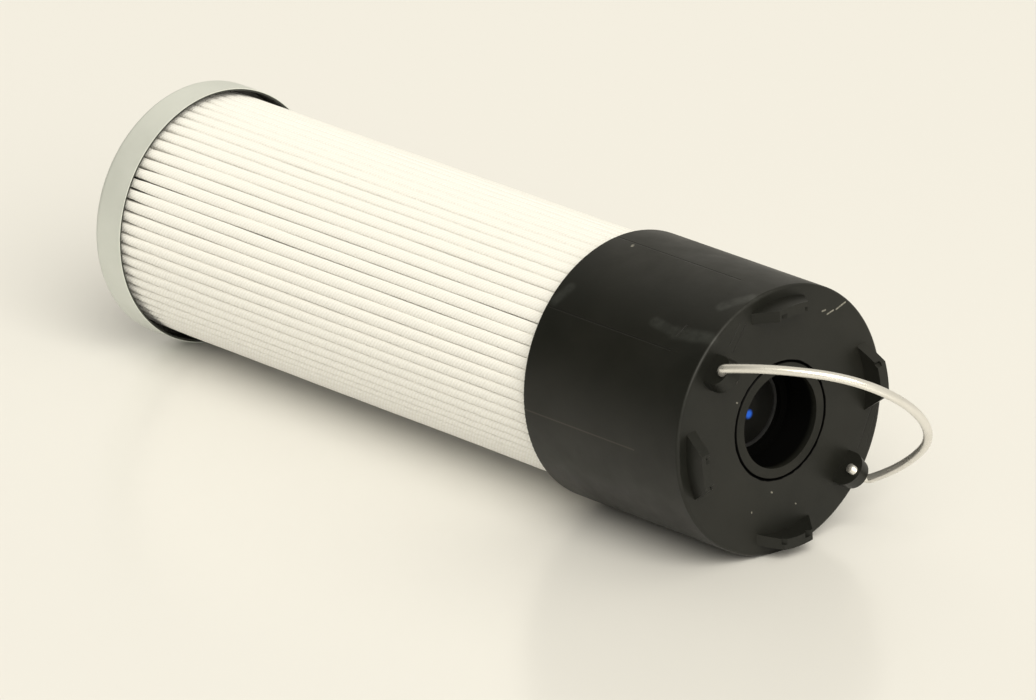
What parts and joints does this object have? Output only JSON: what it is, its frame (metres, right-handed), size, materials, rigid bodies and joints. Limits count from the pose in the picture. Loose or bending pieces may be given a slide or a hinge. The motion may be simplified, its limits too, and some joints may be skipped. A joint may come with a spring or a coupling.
{
  "type": "pleated filter element",
  "caption": "Cylindrical return-line hydraulic filter element: round-tipped pleats, pressed steel end cap, black moulded cap with by-pass valve, lugs and a swinging wire bail.",
  "frame": {"origin": "middle of the steel end cap's underside, on which the element stands", "axes": "+Z along the element's axis towards the moulded cap; X through the bail's two ears"},
  "size_m": [0.088, 0.088, 0.3292],
  "materials": {
    "zinc_plated_steel": "zinc plated, matt",
    "seal_rubber": "matt rubber",
    "resin": "cast resin",
    "core_steel": "plain steel",
    "pleated_media": "off-white mesh over glass-fibre media",
    "black_moulding": "moulded, half matt",
    "bush_moulding": "moulded, smooth",
    "spring_steel": "drawn wire",
    "bail_wire": "bright drawn wire"
  },
  "bodies": {
    "element": {"bottom_end_cap": "zinc_plated_steel", "outlet_seal": "seal_rubber", "bottom_potting": "resin", "core_tube": "core_steel", "pleat_pack": "pleated_media", "top_potting": "resin", "top_end_disc": "core_steel", "cap_housing": "black_moulding", "valve_bush": "bush_moulding", "bush_o_ring": "seal_rubber", "spring_cage": "bush_moulding", "bypass_spring": "spring_steel"},
    "poppet": {"bypass_poppet": "bush_moulding", "poppet_seal": "seal_rubber"},
    "bail": {"bail": "bail_wire"}
  },
  "joints": [
    {"name": "bail_swing", "type": "hinge", "parent": "element", "child": "bail", "pos_m": [0, 0, 0.2876], "axis": [1, 0, 0], "range_deg": [-100, 52]},
    {"name": "bypass_open", "type": "slide", "parent": "element", "child": "poppet", "axis": [0, 0, -1], "range_m": [0, 0.008], "stiffness_N_per_m": 11000, "deforming": ["bypass_spring"]}
  ]
}
